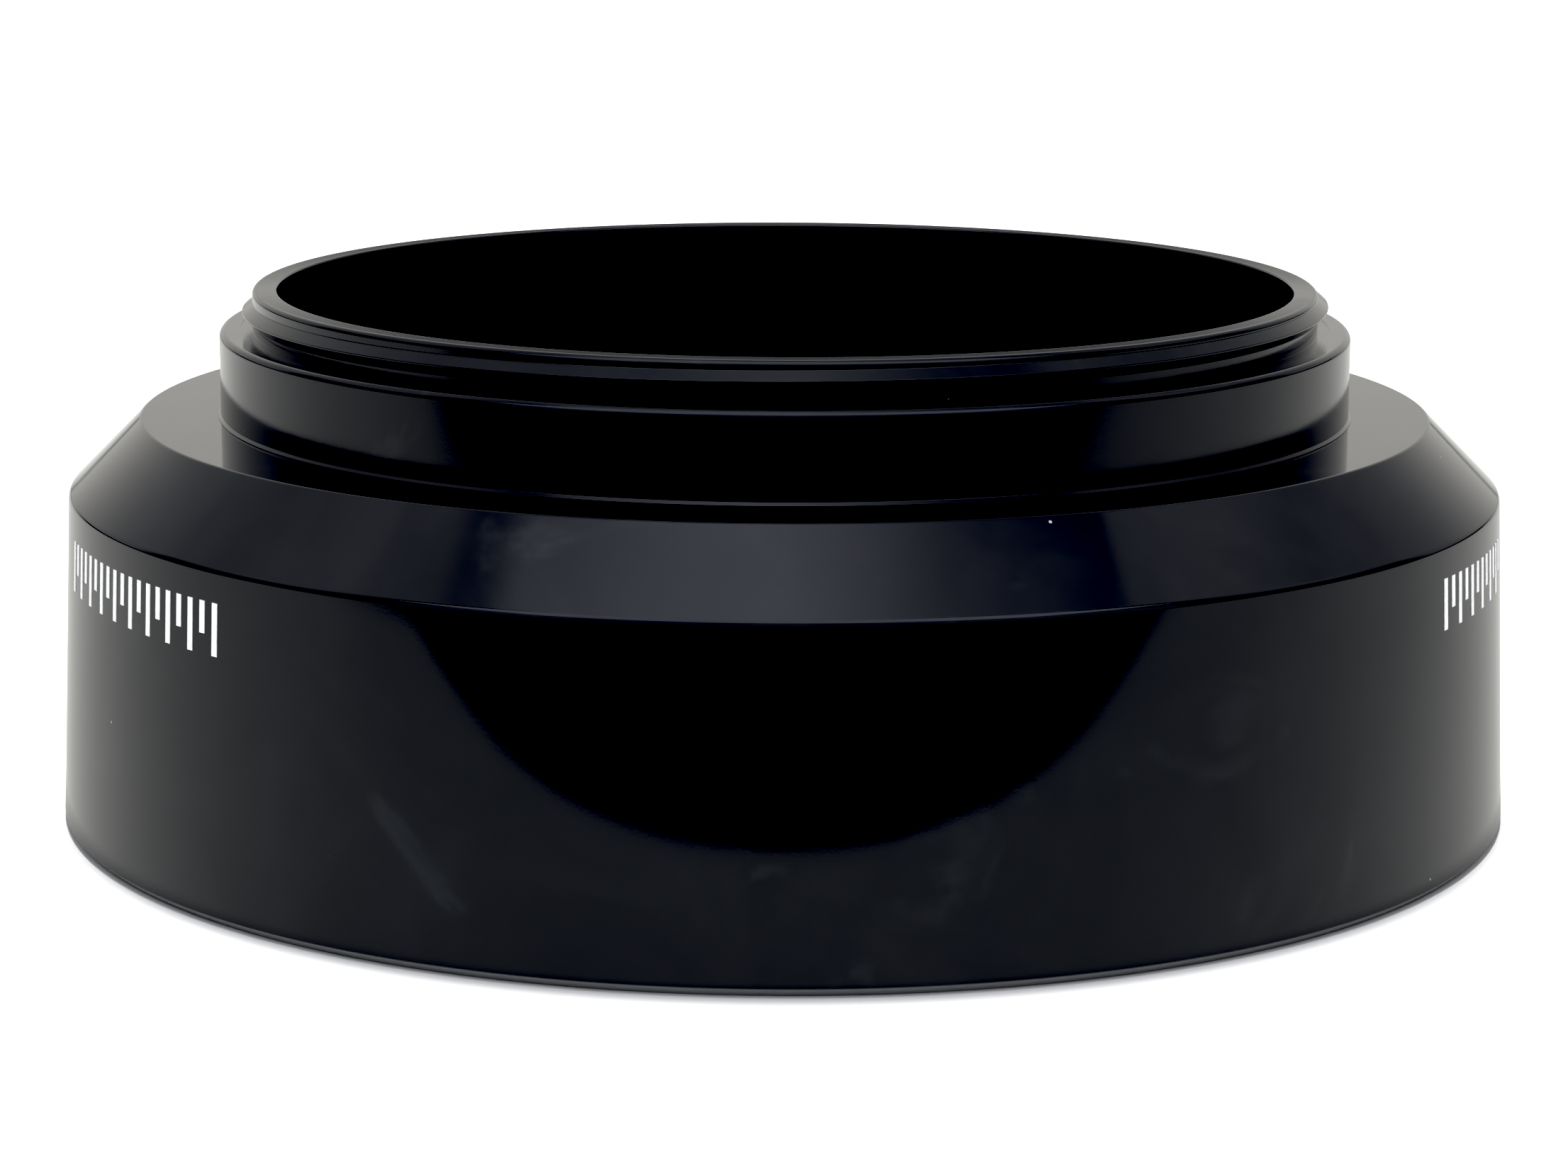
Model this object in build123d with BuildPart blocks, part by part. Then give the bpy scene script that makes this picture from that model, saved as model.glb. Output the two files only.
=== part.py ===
"""Screw-in lens hood for a 49 mm filter thread, standing on its front rim with the thread up."""
from build123d import *
from math import cos, degrees, radians, sin, tan
import os

os.makedirs("parts", exist_ok=True)

# Driving dimensions in millimetres. Z = 0 is the plane that the front rim stands on.
overall_height = 23.65

# Male filter thread, M49 x 0.75: most of one turn, with blunt ends behind (azimuths in degrees from the front)
thread_diameter = 49.0
thread_pitch = 0.75
thread_depth = 0.46
thread_half_angle = 39
thread_sharpness = 0.05  # how far outside the major diameter the flanks would meet
thread_start = -162
thread_end = 125
thread_front_height = 22.85  # height of the crest's middle at the front (-Y)

# Mount ring
bore_radius = 22.93
lip_round = 0.22
lip_inner_round = 0.12
seat_height = 21.88
seat_inner_radius = 24.6
relief_depth = 0.1
neck_radius = 25.53
seat_edge_round = 0.3
foot_chamfer = 0.15
spigot_radius = 24.95
snap_bead_radius = 25.2
snap_bead_height = 0.35
ring_bottom = 15.1

# Hood shell
rim_radius = 32.94
rim_bevel = 0.35
barrel_height = 14.77
barrel_top_radius = 32.36
shoulder_height = 18.05
shoulder_radius = 29.1
barrel_edge_round = 0.4
shoulder_edge_round = 0.2
plate_thickness = 1.9
wall_thickness = 1.6

# Light-trap ribs: a saw-tooth on the barrel's inner wall
rib_count = 12
rib_pitch = 1.0
rib_depth = 0.35
first_rib_height = 1.0

# White printed marks on the barrel: long and short ticks in turn, hanging from one line
mark_thickness = 0.03
mark_width = 0.34
mark_top = 13.45
long_mark_bottom = 11.25
short_mark_bottom = 12.1
mark_step = 1.5  # degrees between ticks
first_mark = {"index_marks_left": -72.4, "index_marks_right": 59}  # degrees from the front
mark_count = {"index_marks_left": 19, "index_marks_right": 12}

thread_radius = thread_diameter / 2
root_radius = thread_radius - thread_depth
plate_bottom = shoulder_height - plate_thickness


def radial_plane(azimuth):
    """Plane through the Z axis whose X points out at this many degrees right of the front."""
    angle = radians(azimuth - 90)
    return Plane(origin=(0, 0, 0), x_dir=(cos(angle), sin(angle), 0), z_dir=(sin(angle), -cos(angle), 0))


def barrel_radius(height):
    """Outer radius of the barrel's gently tapered wall."""
    share = (height - rim_bevel) / (barrel_height - rim_bevel)
    return rim_radius + (barrel_top_radius - rim_radius) * share


# Mount ring: bore, lip, seat, neck and snap-in spigot as one turned section
with BuildPart() as mount_ring:
    with BuildSketch(Plane.XZ) as ring_section:
        with BuildLine():
            Polyline(
                (bore_radius, ring_bottom),
                (bore_radius, overall_height),
                (root_radius, overall_height),
                (root_radius, seat_height - relief_depth),
                (seat_inner_radius, seat_height - relief_depth),
                (seat_inner_radius, seat_height),
                (neck_radius, seat_height),
                (neck_radius, shoulder_height + foot_chamfer),
                (neck_radius + foot_chamfer, shoulder_height),
                (spigot_radius, shoulder_height),
                (spigot_radius, plate_bottom),
                (snap_bead_radius, plate_bottom),
                (snap_bead_radius, plate_bottom - snap_bead_height),
                (root_radius, ring_bottom),
                close=True,
            )
        make_face()
        fillet(ring_section.vertices().group_by(Axis.Y)[-1].sort_by(Axis.X)[0], lip_inner_round)
        fillet(ring_section.vertices().group_by(Axis.Y)[-1].sort_by(Axis.X)[-1], lip_round)
        seat_corners = ring_section.vertices().filter_by(lambda v: abs(v.Y - seat_height) < 0.01)
        fillet(seat_corners.sort_by(Axis.X)[-1], seat_edge_round)
    revolve(axis=Axis.Z)

    # Thread: a sharp ridge swept along the helix, then turned down to the major diameter
    ridge_start = thread_front_height + thread_pitch * thread_start / 360
    ridge_rise = thread_pitch * (thread_end - thread_start) / 360
    ridge_inner_radius = root_radius - 0.1
    ridge_outer_radius = thread_radius + thread_sharpness
    half_base = (ridge_outer_radius - ridge_inner_radius) * tan(radians(thread_half_angle))
    ridge_path = Helix(thread_pitch, ridge_rise, root_radius, (0, 0, ridge_start), mode=Mode.PRIVATE)
    with BuildSketch(radial_plane(thread_start)) as ridge_section:
        with BuildLine():
            Polyline(
                (ridge_inner_radius, ridge_start - half_base),
                (ridge_outer_radius, ridge_start),
                (ridge_inner_radius, ridge_start + half_base),
                close=True,
            )
        make_face()
    sweep(path=ridge_path.rotate(Axis.Z, thread_start - 90), is_frenet=True)
    with BuildSketch(Plane.XY.offset(seat_height)) as turning:
        Circle(thread_radius + 1)
        Circle(thread_radius, mode=Mode.SUBTRACT)
    extrude(amount=overall_height - seat_height, mode=Mode.SUBTRACT)
mount_ring.part.label = "mount_ring"
export_step(mount_ring.part, "parts/mount_ring.step")

# Hood shell: barrel, chamfer and shoulder outside, ribbed light trap inside
inner_rim_radius = rim_radius - wall_thickness
inner_top_radius = barrel_top_radius - wall_thickness
inner_barrel_height = barrel_height - wall_thickness / 2
with BuildPart() as hood_shell:
    with BuildSketch(Plane.XZ) as shell_section:
        with BuildLine():
            Polyline(
                (inner_rim_radius, 0),
                (rim_radius - rim_bevel, 0),
                (rim_radius, rim_bevel),
                (barrel_top_radius, barrel_height),
                (shoulder_radius, shoulder_height),
                (spigot_radius, shoulder_height),
                (spigot_radius, plate_bottom),
                (shoulder_radius - wall_thickness / 2, plate_bottom),
                (inner_top_radius, inner_barrel_height),
                close=True,
            )
        make_face()
        outer_vertices = shell_section.vertices().filter_by(lambda v: v.X > shoulder_radius - 0.01)
        fillet(outer_vertices.sort_by(Axis.Y)[-1], shoulder_edge_round)
        barrel_edge = shell_section.vertices().filter_by(lambda v: abs(v.Y - barrel_height) < 0.01)
        fillet(barrel_edge.sort_by(Axis.X)[-1], barrel_edge_round)
        # each rib hangs inward from the wall, steep on its lower side and sloped above
        for rib in range(rib_count):
            bottom = first_rib_height + rib * rib_pitch
            wall = inner_rim_radius + (inner_top_radius - inner_rim_radius) * bottom / inner_barrel_height
            with BuildLine():
                Polyline(
                    (wall + wall_thickness / 4, bottom),
                    (wall - rib_depth, bottom),
                    (wall + wall_thickness / 4, bottom + rib_pitch),
                    close=True,
                )
            make_face()
    revolve(axis=Axis.Z)
hood_shell.part.label = "hood_shell"
export_step(hood_shell.part, "parts/hood_shell.step")

# Printed marks: thin patches of the barrel's cone, one node for each side
for name, first_azimuth in first_mark.items():
    with BuildPart() as marks:
        for tick in range(mark_count[name]):
            bottom = short_mark_bottom if tick % 2 else long_mark_bottom
            inner_low = barrel_radius(bottom)
            inner_high = barrel_radius(mark_top)
            tick_angle = degrees(mark_width / inner_low)
            with BuildSketch(radial_plane(first_azimuth + tick * mark_step - tick_angle / 2)):
                with BuildLine():
                    Polyline(
                        (inner_low, bottom),
                        (inner_low + mark_thickness, bottom),
                        (inner_high + mark_thickness, mark_top),
                        (inner_high, mark_top),
                        close=True,
                    )
                make_face()
            revolve(axis=Axis.Z, revolution_arc=tick_angle)
    marks.part.label = name
    export_step(marks.part, f"parts/{name}.step")
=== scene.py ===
"""Screw-in lens hood standing on its front rim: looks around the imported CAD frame."""
import math

import bpy
import numpy as np
from mathutils import Matrix


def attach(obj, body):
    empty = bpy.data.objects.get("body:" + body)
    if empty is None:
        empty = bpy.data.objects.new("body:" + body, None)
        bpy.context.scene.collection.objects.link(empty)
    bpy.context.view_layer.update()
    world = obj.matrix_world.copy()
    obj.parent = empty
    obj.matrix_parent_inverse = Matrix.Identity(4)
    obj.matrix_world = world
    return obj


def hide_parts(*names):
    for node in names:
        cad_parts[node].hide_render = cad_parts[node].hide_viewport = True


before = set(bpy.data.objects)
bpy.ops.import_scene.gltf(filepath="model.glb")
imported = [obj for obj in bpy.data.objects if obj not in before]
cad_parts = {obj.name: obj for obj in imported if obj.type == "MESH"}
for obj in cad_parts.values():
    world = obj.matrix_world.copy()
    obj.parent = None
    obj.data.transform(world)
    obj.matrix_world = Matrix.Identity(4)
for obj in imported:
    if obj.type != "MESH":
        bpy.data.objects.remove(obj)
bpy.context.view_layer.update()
scene = bpy.context.scene
MM = 0.001

# ---------------------------------------------------------------- dimensions, millimetres
# Z = 0 is the plane that the front rim stands on. These repeat the CAD model's sizes, apart from two:
# RELIEF_DEPTH is 0.1 there, and THREAD_RUNOUT is only in the looks, because the CAD's thread ends bluntly.
OVERALL_HEIGHT = 23.65
THREAD_RADIUS = 24.5
ROOT_RADIUS = 24.04
THREAD_PITCH = 0.75
THREAD_HALF_ANGLE = math.radians(39)
THREAD_APEX_RADIUS = 24.55
THREAD_FRONT_HEIGHT = 22.85
THREAD_START = math.radians(-162)
THREAD_END = math.radians(125)
THREAD_RUNOUT = math.radians(9)
BORE_RADIUS = 22.93
LIP_ROUND = 0.22
LIP_INNER_ROUND = 0.12
SEAT_HEIGHT = 21.88
SEAT_INNER_RADIUS = 24.6
RELIEF_DEPTH = 0.02
NECK_RADIUS = 25.53
SEAT_EDGE_ROUND = 0.3
FOOT_CHAMFER = 0.15
SPIGOT_RADIUS = 24.95
SNAP_BEAD_RADIUS = 25.2
SNAP_BEAD_HEIGHT = 0.35
RING_BOTTOM = 15.1
RIM_RADIUS = 32.94
RIM_BEVEL = 0.35
BARREL_HEIGHT = 14.77
BARREL_TOP_RADIUS = 32.36
SHOULDER_HEIGHT = 18.05
SHOULDER_RADIUS = 29.1
BARREL_EDGE_ROUND = 0.4
SHOULDER_EDGE_ROUND = 0.2
PLATE_THICKNESS = 1.9
WALL_THICKNESS = 1.6
RIB_COUNT = 12
RIB_PITCH = 1.0
RIB_DEPTH = 0.35
FIRST_RIB_HEIGHT = 1.0

SEGMENTS = 480
MICRO_ROUND = 0.04
TINY_ROUND = 0.02
RIM_INNER_ROUND = 0.12
RIM_OUTER_ROUND = 0.08
INSIDE_ROUND = 0.3
RIB_ROUND = 0.03
NECK_FOOT_ROUND = 0.05
LOWER_FOOT_ROUND = 0.12
UPPER_FOOT_ROUND = 0.06
SNAP_GAP = 0.002
COLUMN_LIFT = 0.03  # how far above the relief's floor the climbing columns start
LEAVE_LENGTH = 0.06  # how far past the upper flank's foot the rounded corner is over
REST_STEPS = 16
BISECTIONS = 40
LIP_GROOVE_PITCH = 0.07
LIP_GROOVE_SWING = 0.006
LIP_GROOVE_MARGIN = 0.01
STEPS_PER_GROOVE = 8
PLATE_BOTTOM = SHOULDER_HEIGHT - PLATE_THICKNESS


# ---------------------------------------------------------------- turned sections
def rounded_section(corners, arc_steps, closed=True, same_steps=False):
    """Points and tangents of a section whose corners (r, z, round) are rounded, with the normals exact.

    Each straight run keeps its own direction right up to its ends, so reflections in it stay straight.
    With same_steps, every corner has arc_steps steps, however far it turns.
    """
    points, tangents = [], []
    count = len(corners)
    for i, (r, z, radius) in enumerate(corners):
        here = np.array((r, z))
        if not closed and i in (0, count - 1):
            other = corners[1] if i == 0 else corners[-2]
            way = np.array(other[:2]) - here
            way = way / np.linalg.norm(way) * (1 if i == 0 else -1)
            points.append(here)
            tangents.append(way)
            continue
        before = np.array(corners[i - 1][:2]) - here
        after = np.array(corners[(i + 1) % count][:2]) - here
        run_in, run_out = np.linalg.norm(before), np.linalg.norm(after)
        before, after = before / run_in, after / run_out
        half = math.acos(np.clip(before @ after, -1, 1)) / 2
        setback = min(radius / math.tan(half), 0.45 * run_in, 0.45 * run_out)
        radius = setback * math.tan(half)
        start, turn = here + before * setback, math.pi - 2 * half
        middle = here + (before + after) / np.linalg.norm(before + after) * radius / math.sin(half)
        spin = np.sign(-before[0] * after[1] + before[1] * after[0])
        steps = arc_steps
        if not same_steps:
            # a small round needs fewer steps than a large one
            saving = min(1.0, 0.5 + radius)
            steps = max(2, math.ceil(arc_steps * turn / (math.pi / 2) * saving))
        for k in range(steps + 1):
            angle = spin * turn * k / steps
            c, s = math.cos(angle), math.sin(angle)
            spoke = start - middle
            points.append(middle + np.array((c * spoke[0] - s * spoke[1], s * spoke[0] + c * spoke[1])))
            tangents.append(np.array((-c * before[0] + s * before[1], -s * before[0] - c * before[1])))
    return np.array(points), np.array(tangents)


def turned_mesh(name, radii, heights, tangent_r, tangent_z):
    """A mesh from one closed section per azimuth: arrays of (section points, azimuths), in millimetres."""
    count, azimuths = radii.shape
    azimuth = np.linspace(0, 2 * math.pi, azimuths, endpoint=False)
    out = np.stack((np.sin(azimuth), -np.cos(azimuth), np.zeros(azimuths)), axis=-1)
    up = np.array((0.0, 0.0, 1.0))
    co = radii[..., None] * out[None] + heights[..., None] * up
    along = tangent_r[..., None] * out[None] + tangent_z[..., None] * up
    around = np.roll(co, -1, axis=1) - np.roll(co, 1, axis=1)
    normal = np.cross(around, along)
    normal /= np.linalg.norm(normal, axis=-1, keepdims=True)
    i, j = np.meshgrid(np.arange(count), np.arange(azimuths), indexing="ij")
    i_next, j_next = (i + 1) % count, (j + 1) % azimuths
    corner = [i * azimuths + j, i * azimuths + j_next, i_next * azimuths + j_next, i_next * azimuths + j]
    faces = np.stack(corner, axis=-1).reshape(-1, 4)
    mesh = bpy.data.meshes.new(name)
    mesh.from_pydata((co * MM).reshape(-1, 3).tolist(), [], faces.tolist())
    mesh.shade_smooth()
    mesh.normals_split_custom_set_from_vertices(normal.reshape(-1, 3).tolist())
    piece = bpy.data.objects.new(name, mesh)
    scene.collection.objects.link(piece)
    return piece


def turned(name, corners, arc_steps):
    """A closed section turned right round."""
    points, tangents = rounded_section(corners, arc_steps=arc_steps)
    wide = np.ones((1, SEGMENTS))
    radii, heights = points[:, :1] * wide, points[:, 1:] * wide
    tangent_r, tangent_z = tangents[:, :1] * wide, tangents[:, 1:] * wide
    return turned_mesh(name, radii, heights, tangent_r, tangent_z)


# ---------------------------------------------------------------- hood shell
def shell_section():
    """The hood's closed section, anticlockwise in (r, z): up the outside, then down the ribbed inside."""
    inner_rim = RIM_RADIUS - WALL_THICKNESS
    inner_top = BARREL_TOP_RADIUS - WALL_THICKNESS
    inner_height = BARREL_HEIGHT - WALL_THICKNESS / 2

    def inner_wall(height):
        return inner_rim + (inner_top - inner_rim) * height / inner_height

    corners = [
        (inner_rim, 0.0, RIM_INNER_ROUND),
        (RIM_RADIUS - RIM_BEVEL, 0.0, RIM_OUTER_ROUND),
        (RIM_RADIUS, RIM_BEVEL, RIM_OUTER_ROUND),
        (BARREL_TOP_RADIUS, BARREL_HEIGHT, BARREL_EDGE_ROUND),
        (SHOULDER_RADIUS, SHOULDER_HEIGHT, SHOULDER_EDGE_ROUND),
        (SPIGOT_RADIUS, SHOULDER_HEIGHT, MICRO_ROUND),
        (SPIGOT_RADIUS, PLATE_BOTTOM, MICRO_ROUND),
        (SHOULDER_RADIUS - WALL_THICKNESS / 2, PLATE_BOTTOM, INSIDE_ROUND),
        (inner_top, inner_height, INSIDE_ROUND),
    ]
    rib_fall = WALL_THICKNESS / 4
    for rib in reversed(range(RIB_COUNT)):
        bottom = FIRST_RIB_HEIGHT + rib * RIB_PITCH
        crest = inner_wall(bottom) - RIB_DEPTH
        root_height = bottom + RIB_PITCH * RIB_DEPTH / (RIB_DEPTH + rib_fall)
        if rib == RIB_COUNT - 1:
            corners.append((inner_wall(root_height), root_height, RIB_ROUND))
        corners.append((crest, bottom, RIB_ROUND))
        below = max(0.0, bottom - RIB_PITCH * rib_fall / (RIB_DEPTH + rib_fall))
        corners.append((inner_wall(bottom), bottom, RIB_ROUND))
        if rib:
            corners.append((inner_wall(below), below, RIB_ROUND))
    return corners


# ---------------------------------------------------------------- mount ring
def ridge_column(centre, share):
    """The ring's outer wall from the seat's relief to the lip's top, for one azimuth.

    centre is the crest's height and share how far the ridge stands out. Every column has the same number of
    points, so the ridge climbs through the mesh and is one with the wall.
    """
    spread = math.tan(THREAD_HALF_ANGLE)
    foot_half = (THREAD_APEX_RADIUS - ROOT_RADIUS) * spread
    crest_half = (THREAD_APEX_RADIUS - THREAD_RADIUS) * spread
    lip_start = OVERALL_HEIGHT - LIP_ROUND
    lip_middle = ROOT_RADIUS - LIP_ROUND
    quarter = LIP_ROUND * math.pi / 2
    wall_bottom = SEAT_HEIGHT - RELIEF_DEPTH

    def base(s):
        """Point and tangent of the plain wall and lip, s millimetres above the start of the lip's round."""
        if s <= 0:
            return (ROOT_RADIUS, lip_start + s), (0.0, 1.0)
        a = s / LIP_ROUND
        point = (lip_middle + LIP_ROUND * math.cos(a), lip_start + LIP_ROUND * math.sin(a))
        return point, (-math.sin(a), math.cos(a))

    # where the upper flank meets the wall, or the lip's round when the ridge has climbed up to it
    upper_foot = centre + foot_half - lip_start
    if upper_foot > 0:
        low, high = 0.0, quarter
        for _ in range(BISECTIONS):
            middle = (low + high) / 2
            r, z = base(middle)[0]
            flank = THREAD_RADIUS - (z - centre - crest_half) / spread
            if r < flank:
                low = middle
            else:
                high = middle
        upper_foot = low
    foot_point = base(upper_foot)[0]

    corners = [
        (ROOT_RADIUS, wall_bottom + COLUMN_LIFT),
        (ROOT_RADIUS, centre - foot_half),
        (THREAD_RADIUS, centre - crest_half),
        (THREAD_RADIUS, centre + crest_half),
        foot_point,
    ]
    softness = (0.0, LOWER_FOOT_ROUND, MICRO_ROUND, MICRO_ROUND, UPPER_FOOT_ROUND)
    rounded = [(r, z, soft) for (r, z), soft in zip(corners, softness)]
    leave = base(upper_foot + LEAVE_LENGTH)[0]
    points, tangents = rounded_section(rounded + [(*leave, 0.0)], closed=False, arc_steps=4, same_steps=True)
    points, tangents = points[:-1], tangents[:-1]
    rest_start = upper_foot + LEAVE_LENGTH
    rest = [base(rest_start + (quarter - rest_start) * k / REST_STEPS) for k in range(REST_STEPS + 1)]
    points = np.vstack((points, [p for p, _ in rest]))
    tangents = np.vstack((tangents, [t for _, t in rest]))
    heights = points[:, 1]
    above = np.clip(heights - lip_start, 0, LIP_ROUND)
    plain = lip_middle + np.sqrt(np.maximum(LIP_ROUND**2 - above**2, 0))
    radii = plain + (points[:, 0] - plain) * share
    slope_r = np.where(heights > lip_start, tangents[:, 0], tangents[:, 0] * share)
    return radii, heights, slope_r, tangents[:, 1]


def lip_grooves():
    """Fine concentric turning marks cut into the lip's flat top, from its outer round to its inner one."""
    outer = ROOT_RADIUS - LIP_ROUND - LIP_GROOVE_MARGIN
    inner = BORE_RADIUS + LIP_INNER_ROUND + LIP_GROOVE_MARGIN
    grooves = round((outer - inner) / LIP_GROOVE_PITCH)
    phase = np.linspace(0, 2 * math.pi * grooves, STEPS_PER_GROOVE * grooves + 1)
    radii = outer - (outer - inner) * phase / phase[-1]
    heights = OVERALL_HEIGHT - LIP_GROOVE_SWING * (1 - np.cos(phase))
    slope = LIP_GROOVE_SWING * np.sin(phase) * phase[-1] / (outer - inner)
    tangents = np.stack((-np.ones_like(slope), -slope), axis=-1)
    return np.stack((radii, heights), axis=-1), tangents / np.linalg.norm(tangents, axis=-1, keepdims=True)


def mount_ring():
    """The ring: its section is the same all round apart from the outer wall, where the thread climbs."""
    # the first and the last corner only give directions, and are dropped
    start = [
        (ROOT_RADIUS - LIP_ROUND - 0.02, OVERALL_HEIGHT, 0.0),
        (BORE_RADIUS, OVERALL_HEIGHT, LIP_INNER_ROUND),
        (BORE_RADIUS, RING_BOTTOM, MICRO_ROUND),
        (ROOT_RADIUS, RING_BOTTOM, MICRO_ROUND),
        (SNAP_BEAD_RADIUS, PLATE_BOTTOM - SNAP_BEAD_HEIGHT, MICRO_ROUND),
        (SNAP_BEAD_RADIUS, PLATE_BOTTOM - SNAP_GAP, MICRO_ROUND),
        (SPIGOT_RADIUS, PLATE_BOTTOM - SNAP_GAP, TINY_ROUND),
        (SPIGOT_RADIUS, SHOULDER_HEIGHT, TINY_ROUND),
        (NECK_RADIUS + FOOT_CHAMFER, SHOULDER_HEIGHT, TINY_ROUND),
        (NECK_RADIUS, SHOULDER_HEIGHT + FOOT_CHAMFER, NECK_FOOT_ROUND),
        (NECK_RADIUS, SEAT_HEIGHT, SEAT_EDGE_ROUND),
        (SEAT_INNER_RADIUS, SEAT_HEIGHT, MICRO_ROUND),
        (SEAT_INNER_RADIUS, SEAT_HEIGHT - RELIEF_DEPTH, MICRO_ROUND),
        (ROOT_RADIUS, SEAT_HEIGHT - RELIEF_DEPTH, TINY_ROUND),
        (ROOT_RADIUS, SEAT_HEIGHT - RELIEF_DEPTH + COLUMN_LIFT, 0.0),
    ]
    fixed, fixed_tangents = rounded_section(start, closed=False, arc_steps=12)
    grooves, groove_tangents = lip_grooves()
    fixed = np.vstack((grooves, fixed[1:-1]))
    fixed_tangents = np.vstack((groove_tangents, fixed_tangents[1:-1]))
    columns = []
    climb = THREAD_PITCH / (2 * math.pi)
    for j in range(SEGMENTS):
        azimuth = 2 * math.pi * j / SEGMENTS
        if azimuth > math.pi:
            azimuth -= 2 * math.pi
        share = np.clip(min(azimuth - THREAD_START, THREAD_END - azimuth) / THREAD_RUNOUT, 0, 1)
        share = share * share * (3 - 2 * share)
        turned_by = azimuth
        if not THREAD_START < azimuth < THREAD_END:
            # behind the ends the wall's points slide back down to the other end
            gap = 2 * math.pi - (THREAD_END - THREAD_START)
            past = (azimuth - THREAD_END) % (2 * math.pi) / gap
            turned_by = THREAD_END + (THREAD_START - THREAD_END) * past
        columns.append(ridge_column(THREAD_FRONT_HEIGHT + climb * turned_by, share))
    wide = np.ones((1, SEGMENTS))
    radii = np.vstack((fixed[:, :1] * wide, np.array([c[0] for c in columns]).T))
    heights = np.vstack((fixed[:, 1:] * wide, np.array([c[1] for c in columns]).T))
    slope_r = np.vstack((fixed_tangents[:, :1] * wide, np.array([c[2] for c in columns]).T))
    slope_z = np.vstack((fixed_tangents[:, 1:] * wide, np.array([c[3] for c in columns]).T))
    return turned_mesh("mount_ring_looks", radii, heights, slope_r, slope_z)


# ---------------------------------------------------------------- materials
# sizes in metres, colours linear
BLACK_LOW = (0.0035, 0.0037, 0.0042, 1)
BLACK_HIGH = (0.0065, 0.0068, 0.0075, 1)
WISP_COLOUR = (0.015, 0.0165, 0.018, 1)
# painted reflection: the light grey of the rim's bevel stands in for the bright floor that it mirrors
RIM_BEVEL_SHEEN_COLOUR = (0.2, 0.2, 0.2, 1)
WORN_ROUGHNESS = 0.4
LIP_ROUGHNESS = 0.1
DUST_COLOUR = (0.35, 0.35, 0.34, 1)
DUST_ROUGHNESS = 0.6
DUST_CELL = 0.0013
DUST_SHARE = 0.07
DUST_SIZE = 0.00006
DUST_HEIGHT = 0.00003
MATTE_LOW = (0.003, 0.003, 0.0034, 1)
MATTE_HIGH = (0.008, 0.008, 0.009, 1)
INK_LOW = (0.78, 0.79, 0.80, 1)
INK_HIGH = (0.95, 0.95, 0.95, 1)


class Nodes:
    """Short spellings for building a node tree."""

    def __init__(self, tree):
        self.tree = tree

    def add(self, kind, **values):
        node = self.tree.nodes.new(kind)
        for key, value in values.items():
            setattr(node, key, value)
        return node

    def link(self, source, target):
        self.tree.links.new(source, target)

    def put(self, target, value):
        if isinstance(value, bpy.types.NodeSocket):
            self.link(value, target)
        else:
            target.default_value = value

    def math(self, operation, a, b=0.0, clamp=False):
        node = self.add("ShaderNodeMath", operation=operation, use_clamp=clamp)
        self.put(node.inputs[0], a)
        self.put(node.inputs[1], b)
        return node.outputs[0]

    def ramp(self, value, low, high, to_low=0.0, to_high=1.0):
        """A smooth step of value from low to high."""
        node = self.add("ShaderNodeMapRange", interpolation_type="SMOOTHSTEP")
        self.put(node.inputs["Value"], value)
        for name, number in (("From Min", low), ("From Max", high), ("To Min", to_low), ("To Max", to_high)):
            node.inputs[name].default_value = number
        return node.outputs["Result"]

    def noise(self, vector, scale, detail, roughness, distortion=0.0):
        node = self.add("ShaderNodeTexNoise")
        self.link(vector, node.inputs["Vector"])
        node.inputs["Scale"].default_value = scale
        node.inputs["Detail"].default_value = detail
        node.inputs["Roughness"].default_value = roughness
        node.inputs["Distortion"].default_value = distortion
        return node.outputs["Fac"]

    def mix_colour(self, share, a, b):
        node = self.add("ShaderNodeMix", data_type="RGBA")
        self.put(node.inputs["Factor"], share)
        self.put(node.inputs["A"], a)
        self.put(node.inputs["B"], b)
        return node.outputs["Result"]

    def split(self, vector):
        node = self.add("ShaderNodeSeparateXYZ")
        self.link(vector, node.inputs[0])
        return node.outputs

    def bump(self, height, distance, after=None):
        node = self.add("ShaderNodeBump")
        node.inputs["Strength"].default_value = 1.0
        node.inputs["Distance"].default_value = distance
        self.link(height, node.inputs["Height"])
        if after is not None:
            self.link(after, node.inputs["Normal"])
        return node.outputs["Normal"]


def new_material(name):
    """A material with its node tree, its shader and the coordinates of the object that wears it."""
    material = bpy.data.materials.new(name)
    material.use_nodes = True
    n = Nodes(material.node_tree)
    shader = material.node_tree.nodes["Principled BSDF"]
    return material, n, shader, n.add("ShaderNodeTexCoord").outputs["Object"]


def dust(n, vector, cell, share_filled, speck):
    """1 inside sparse little specks: one in some of the cells of a random grid, each of its own size."""
    node = n.add("ShaderNodeTexVoronoi", feature="F1")
    n.link(vector, node.inputs["Vector"])
    node.inputs["Scale"].default_value = 1 / cell
    split = n.add("ShaderNodeSeparateColor")
    n.link(node.outputs["Color"], split.inputs["Color"])
    chosen = n.ramp(split.outputs["Red"], share_filled, share_filled * 0.98, 0.0, 1.0)
    size = n.math("MULTIPLY", n.math("ADD", split.outputs["Green"], 0.3), speck / cell)
    inside = n.math("LESS_THAN", node.outputs["Distance"], size)
    return n.math("MULTIPLY", inside, chosen)


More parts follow.
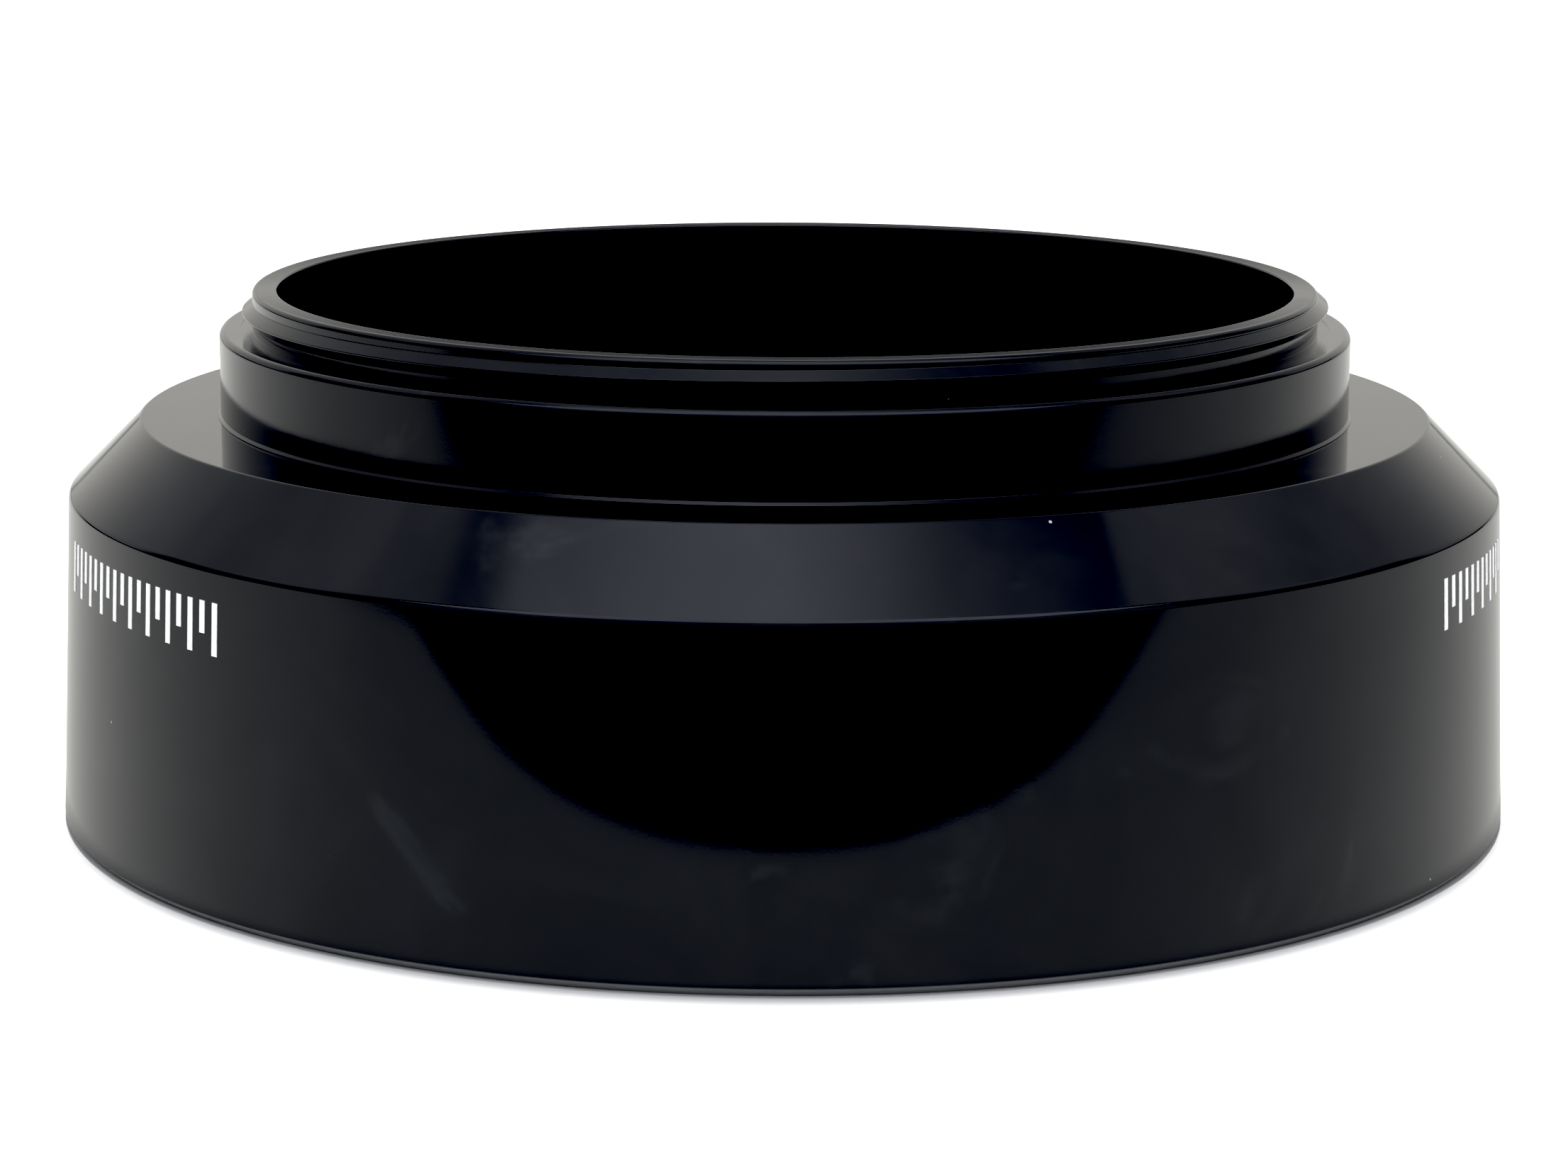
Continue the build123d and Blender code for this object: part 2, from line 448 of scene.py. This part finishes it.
def gloss_plastic(name, roughness, uneven, grain, grain_size, ripple):
    """Moulded black gloss plastic: soft ripples, a fine grain, uneven polish and a little dust."""
    material, n, shader, place = new_material(name)
    smear = n.noise(place, 130.0, 4.0, 0.6, 0.8)
    fine = n.noise(place, 1 / grain_size, 3.0, 0.65)
    specks = dust(n, place, DUST_CELL, DUST_SHARE, DUST_SIZE)
    # the rim's bevel: rougher with wear, and painted light grey as a painted reflection of the bright floor
    rim_wear_and_sheen = n.ramp(n.split(place)[2], (RIM_BEVEL + 0.05) * MM, (RIM_BEVEL - 0.05) * MM)
    tint = n.mix_colour(n.ramp(smear, 0.35, 0.75), BLACK_LOW, BLACK_HIGH)
    wisps = n.noise(place, 70.0, 5.0, 0.55, 2.5)
    tint = n.mix_colour(n.ramp(wisps, 0.6, 0.78), tint, WISP_COLOUR)
    tint = n.mix_colour(rim_wear_and_sheen, tint, RIM_BEVEL_SHEEN_COLOUR)
    n.link(n.mix_colour(specks, tint, DUST_COLOUR), shader.inputs["Base Color"])
    polish = n.ramp(smear, 0.3, 0.8, roughness - uneven, roughness + uneven)
    lip_low, lip_high = (OVERALL_HEIGHT - 0.05) * MM, (OVERALL_HEIGHT - 0.02) * MM
    lip = n.ramp(n.split(place)[2], lip_low, lip_high, 0.0, LIP_ROUGHNESS)
    dull = n.math("ADD", lip, n.math("MULTIPLY", rim_wear_and_sheen, WORN_ROUGHNESS))
    rough = n.math("ADD", n.math("ADD", polish, dull), n.math("MULTIPLY", specks, DUST_ROUGHNESS), clamp=True)
    n.link(rough, shader.inputs["Roughness"])
    shader.inputs["IOR"].default_value = 1.5
    waves = n.noise(place, 120.0, 2.0, 0.4)
    soft = n.bump(waves, ripple)
    grained = n.bump(fine, grain, after=soft)
    n.link(n.bump(specks, DUST_HEIGHT, after=grained), shader.inputs["Normal"])
    return material


def matte_black(name):
    """The unpolished inside of the hood."""
    material, n, shader, place = new_material(name)
    cloud = n.noise(place, 300.0, 4.0, 0.6)
    grain = n.noise(place, 6000.0, 2.0, 0.6)
    n.link(n.mix_colour(cloud, MATTE_LOW, MATTE_HIGH), shader.inputs["Base Color"])
    n.link(n.ramp(cloud, 0.3, 0.7, 0.5, 0.62), shader.inputs["Roughness"])
    n.link(n.bump(grain, 0.00003), shader.inputs["Normal"])
    return material


def white_print(name):
    """Pad-printed white ink, thin enough to mottle, over the gloss."""
    material, n, shader, place = new_material(name)
    mottle = n.noise(place, 5200.0, 3.0, 0.6)
    cloud = n.noise(place, 700.0, 2.0, 0.5)
    ink = n.math("ADD", n.math("MULTIPLY", mottle, 0.7), n.math("MULTIPLY", cloud, 0.3))
    n.link(n.mix_colour(n.ramp(ink, 0.3, 0.6), INK_LOW, INK_HIGH), shader.inputs["Base Color"])
    n.link(n.ramp(mottle, 0.3, 0.7, 0.42, 0.6), shader.inputs["Roughness"])
    n.link(n.bump(mottle, 0.000006), shader.inputs["Normal"])
    return material


# ---------------------------------------------------------------- pieces
# where the unpolished inside begins, in millimetres, and how far up a normal points on a top face
UNDER_PLATE_INSET = 1.2
UNDER_PLATE_DROP = 0.2
INSIDE_SLACK = 0.02
BORE_SLACK = 0.01
FACING_UP = 0.2


def radius_and_height(face):
    """How far a face's middle is from the axis, and its height, in millimetres."""
    middle = face.center / MM
    return math.hypot(middle.x, middle.y), middle.z


shell = turned("hood_shell_looks", shell_section(), arc_steps=8)
ring = mount_ring()
shell_gloss = gloss_plastic(
    "shell_gloss", roughness=0.07, uneven=0.025, grain=0.0000006, grain_size=0.00012, ripple=0.00001
)
ring_gloss = gloss_plastic(
    "ring_gloss", roughness=0.13, uneven=0.03, grain=0.0000018, grain_size=0.00009, ripple=0.000006
)
inside = matte_black("inside_matte")
ink = white_print("print_white")

# the inside of the hood and the ring's bore are unpolished
for piece, gloss in ((shell, shell_gloss), (ring, ring_gloss)):
    piece.data.materials.append(gloss)
    piece.data.materials.append(inside)
for face in shell.data.polygons:
    radius, height = radius_and_height(face)
    under_plate = radius < SHOULDER_RADIUS - UNDER_PLATE_INSET and height < SHOULDER_HEIGHT - UNDER_PLATE_DROP
    inner_wall = radius < RIM_RADIUS - WALL_THICKNESS + INSIDE_SLACK and height < BARREL_HEIGHT
    face.material_index = int(face.normal.z < FACING_UP and under_plate or inner_wall)
for face in ring.data.polygons:
    radius, height = radius_and_height(face)
    face.material_index = int(radius < BORE_RADIUS + BORE_SLACK or height < PLATE_BOTTOM + BORE_SLACK)

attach(shell, "root")
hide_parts("hood_shell")
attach(ring, "root")
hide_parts("mount_ring")
for node_name in ("index_marks_left", "index_marks_right"):
    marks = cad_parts[node_name]
    marks.data.materials.clear()
    marks.data.materials.append(ink)


# ---------------------------------------------------------------- stage
# The stage is tuned to the main camera. Seen from behind, it leaves the hood very dark.
FLOOR_REACH = 6.0
FLOOR_LOW = (0.80, 0.80, 0.795, 1)
FLOOR_HIGH = (0.83, 0.83, 0.825, 1)
# painted reflection: the floor's colour where the plastic mirrors it, a shade darker than the paper the
# camera sees
FLOOR_PAINTED_REFLECTION = (0.57, 0.574, 0.54, 1)
BLACK = (0, 0, 0, 1)
EDGE_FRONT = 0.0685
EDGE_BOW = 0.036
EDGE_BOW_WIDTH = 0.09
FLOOR_SHADE_NEAR = 0.78
FLOOR_SHADE_FAR = 0.71
FLOOR_SHADE_BEHIND = 0.1
FLOOR_SHADE_RIGHT = 0.95
SOFTBOX_LEVEL = 1.75
SOFTBOX_COLOUR = (0.95, 0.97, 1.04, 1)
WALL_LEVEL_LEFT = 0.55
WALL_LEVEL_RIGHT = 0.45
WALL_HIGH = 0.76
WALL_LOW = 0.79
SIDE_COLOUR = (0.98, 0.985, 0.965, 1)
BACK_COLOUR = (1.0, 0.985, 0.93, 1)
ROOM_LEVEL = 0.7
DIFFUSE_SHARE = 0.6
CAMERA_LEVEL = 1.2
CAMERA_COLOUR = (1, 1, 1, 1)


def floor_paper():
    """The stage's pale paper, with a second look that only the plastic's reflections see.

    There it is a painted reflection: a shade darker, with painted shade along and across it, and it ends in
    front of the hood in a soft bowed edge, beyond which it is painted black.
    """
    material, n, shader, place = new_material("floor_paper")
    cloud = n.noise(place, 9.0, 2.0, 0.5)
    seen = n.mix_colour(cloud, FLOOR_LOW, FLOOR_HIGH)
    x, y = n.split(place)[:2]
    # painted reflection: past a bowed edge in front of the hood the mirrored floor is painted black, which
    # paints the dark half-disc in the barrel
    squared = n.math("MULTIPLY", x, x)
    bow = n.math("DIVIDE", squared, n.math("ADD", squared, EDGE_BOW_WIDTH**2))
    from_edge = n.math("ADD", n.math("ADD", y, EDGE_FRONT), n.math("MULTIPLY", bow, EDGE_BOW))
    fade = n.math("ADD", n.math("MULTIPLY", squared, 0.3), n.ramp(x, -0.095, -0.125, 0.006, 0.036))
    shade = n.ramp(n.math("DIVIDE", from_edge, fade), 0.0, 1.0)
    # painted shade: the mirrored floor is darker just behind the hood, lighter further back, and darker to
    # the right
    along = n.ramp(y, -0.03, 0.02, FLOOR_SHADE_NEAR, FLOOR_SHADE_FAR)
    shade_level = n.math("ADD", along, n.ramp(y, 0.06, 0.13, 0.0, FLOOR_SHADE_BEHIND))
    across = n.ramp(x, 0.02, 0.06, 1.0, FLOOR_SHADE_RIGHT)
    shade = n.math("MULTIPLY", shade, n.math("MULTIPLY", shade_level, across))
    # painted reflection: the plastic's reflections see this darker, shaded floor in place of the paper
    painted_reflection = n.mix_colour(shade, BLACK, FLOOR_PAINTED_REFLECTION)
    glossy_ray = n.add("ShaderNodeLightPath").outputs["Is Glossy Ray"]
    n.link(n.mix_colour(glossy_ray, seen, painted_reflection), shader.inputs["Base Color"])
    shader.inputs["Roughness"].default_value = 0.9
    shader.inputs["Specular IOR Level"].default_value = 0.0
    return material


def light_tent():
    """The world: pale sides and back, a softbox overhead, dark towards the camera.

    dx, dy and dz are the parts of a direction. across and deep are its slopes, which draw the flat ceiling.
    """
    world = bpy.data.worlds.new("tent")
    world.use_nodes = True
    w = Nodes(world.node_tree)
    background = world.node_tree.nodes["Background"]
    dx, dy, dz = w.split(w.add("ShaderNodeTexCoord").outputs["Generated"])
    rise = w.math("MAXIMUM", dz, 0.02)
    across = w.math("DIVIDE", dx, rise)
    deep = w.math("DIVIDE", dy, rise)
    overhead = w.math("MULTIPLY", w.ramp(across, -0.64, -0.57), w.ramp(across, 0.63, 0.6))
    overhead = w.math("MULTIPLY", overhead, w.ramp(deep, 0.3, 0.2))
    overhead = w.math("MULTIPLY", overhead, w.ramp(dz, 0.3, 0.35))
    box_left = w.ramp(across, -0.54, -0.46, 0.48, 0.79)
    box_left = w.math("ADD", box_left, w.ramp(across, -0.46, -0.06, 0.0, 0.22))
    box_right = w.ramp(across, 0.42, -0.06, 0.42, 1.0)
    box_back = w.ramp(deep, 0.15, -0.2, 0.5, 1.0)
    box_front = w.ramp(deep, -1.2, -0.8)
    softbox = w.math("MULTIPLY", w.math("MULTIPLY", box_left, box_right), box_front)
    softbox = w.math("MULTIPLY", w.math("MULTIPLY", softbox, box_back), overhead)
    # its front part, over the camera, is as bright right across
    near_part = w.math("MULTIPLY", w.ramp(deep, -0.28, -0.38), w.ramp(deep, -1.5, -1.3))
    near_part = w.math("MULTIPLY", near_part, w.ramp(w.math("ABSOLUTE", across), 1.3, 1.1))
    softbox = w.math("MAXIMUM", softbox, near_part)
    # the walls are brightest high at the sides and low at the back, with a dark gap above the floor
    wall = w.math("MULTIPLY", w.ramp(dy, -0.25, -0.02), w.math("SUBTRACT", 1.0, overhead))
    wall_dim = w.ramp(dx, -0.3, 0.3, WALL_LEVEL_LEFT, WALL_LEVEL_RIGHT)
    wall_high = w.math("MULTIPLY", w.ramp(dy, 0.46, 0.13), w.math("SUBTRACT", WALL_HIGH, wall_dim))
    wall_low = w.math("MULTIPLY", w.ramp(dy, 0.64, 0.95), w.math("SUBTRACT", WALL_LOW, wall_dim))
    wall_level = w.math("ADD", wall_dim, w.math("ADD", wall_high, wall_low))
    gap = w.math("MAXIMUM", w.ramp(dz, 0.05, 0.1), w.ramp(dy, 0.75, 0.9))
    gap = w.math("MULTIPLY", gap, w.math("MAXIMUM", w.ramp(dz, 0.3, 0.55), w.ramp(dy, 0.35, 0.55)))
    above_floor = w.ramp(dz, -0.02, 0.0)
    wall = w.math("MULTIPLY", w.math("MULTIPLY", wall, wall_level), w.math("MULTIPLY", gap, above_floor))
    # the room behind the camera, which the hood's far side mirrors when the camera goes round to it
    room = w.math("MULTIPLY", w.ramp(dy, -0.3, -0.5, 0.0, ROOM_LEVEL), above_floor)
    level = w.math("ADD", w.math("MULTIPLY", softbox, SOFTBOX_LEVEL), wall)
    level = w.math("MAXIMUM", level, w.math("MULTIPLY", room, w.math("SUBTRACT", 1.0, softbox)))
    tint = w.mix_colour(w.ramp(dy, 0.6, 0.95), SIDE_COLOUR, BACK_COLOUR)
    tint = w.mix_colour(softbox, tint, SOFTBOX_COLOUR)
    rays = w.add("ShaderNodeLightPath").outputs
    camera_ray = rays["Is Camera Ray"]
    w.link(w.mix_colour(camera_ray, tint, CAMERA_COLOUR), background.inputs["Color"])
    level = w.math("MULTIPLY", level, w.ramp(rays["Is Diffuse Ray"], 0.0, 1.0, 1.0, DIFFUSE_SHARE))
    level = w.math("MAXIMUM", level, w.math("MULTIPLY", camera_ray, CAMERA_LEVEL))
    w.link(level, background.inputs["Strength"])
    return world


paper = floor_paper()
floor_corners = [(x * FLOOR_REACH, y * FLOOR_REACH, 0) for x, y in ((-1, -1), (1, -1), (1, 1), (-1, 1))]
floor_mesh = bpy.data.meshes.new("floor")
floor_mesh.from_pydata(floor_corners, [], [(0, 1, 2, 3)])
floor_mesh.materials.append(paper)
floor = bpy.data.objects.new("floor", floor_mesh)
scene.collection.objects.link(floor)
scene.world = light_tent()

# a lamp overhead and a little behind brings the floor to paper white without a second reflection
lamp_data = bpy.data.lights.new("overhead_fill", "AREA")
lamp_data.shape = "RECTANGLE"
lamp_data.size = 0.16
lamp_data.size_y = 0.17
lamp_data.energy = 13.0
lamp = bpy.data.objects.new("overhead_fill", lamp_data)
scene.collection.objects.link(lamp)
lamp.location = (0.0, 0.075, 0.9)
lamp.visible_glossy = False
lamp.visible_camera = False

# ---------------------------------------------------------------- camera
camera_data = bpy.data.cameras.new("camera")
camera_data.sensor_width = 36.0
camera_data.lens = 95.3
camera_data.clip_start = 0.005
camera_data.clip_end = 50.0
camera = bpy.data.objects.new("camera", camera_data)
scene.collection.objects.link(camera)
camera.location = (0.0, -0.1875, 0.04805)
tilt_down, roll = math.radians(11.62), math.radians(0.222)
turn = Matrix.Rotation(math.pi / 2 - tilt_down, 3, "X") @ Matrix.Rotation(roll, 3, "Z")
camera.rotation_euler = turn.to_euler()
scene.camera = camera

scene.view_settings.view_transform = "Standard"
scene.view_settings.look = "None"
scene.view_settings.use_curve_mapping = True
curves = scene.view_settings.curve_mapping
curves.black_level = (0.034, 0.0335, 0.029)
# every channel's curve is straight up to where the highlights start, and reaches white early
HIGHLIGHT_START = 0.6
HIGHLIGHT_WHITE = 0.87
highlights = curves.curves[3].points
highlights.new(HIGHLIGHT_START, HIGHLIGHT_START)
highlights.new(HIGHLIGHT_WHITE, 1.0)
for point in highlights:
    point.handle_type = "VECTOR"
curves.update()
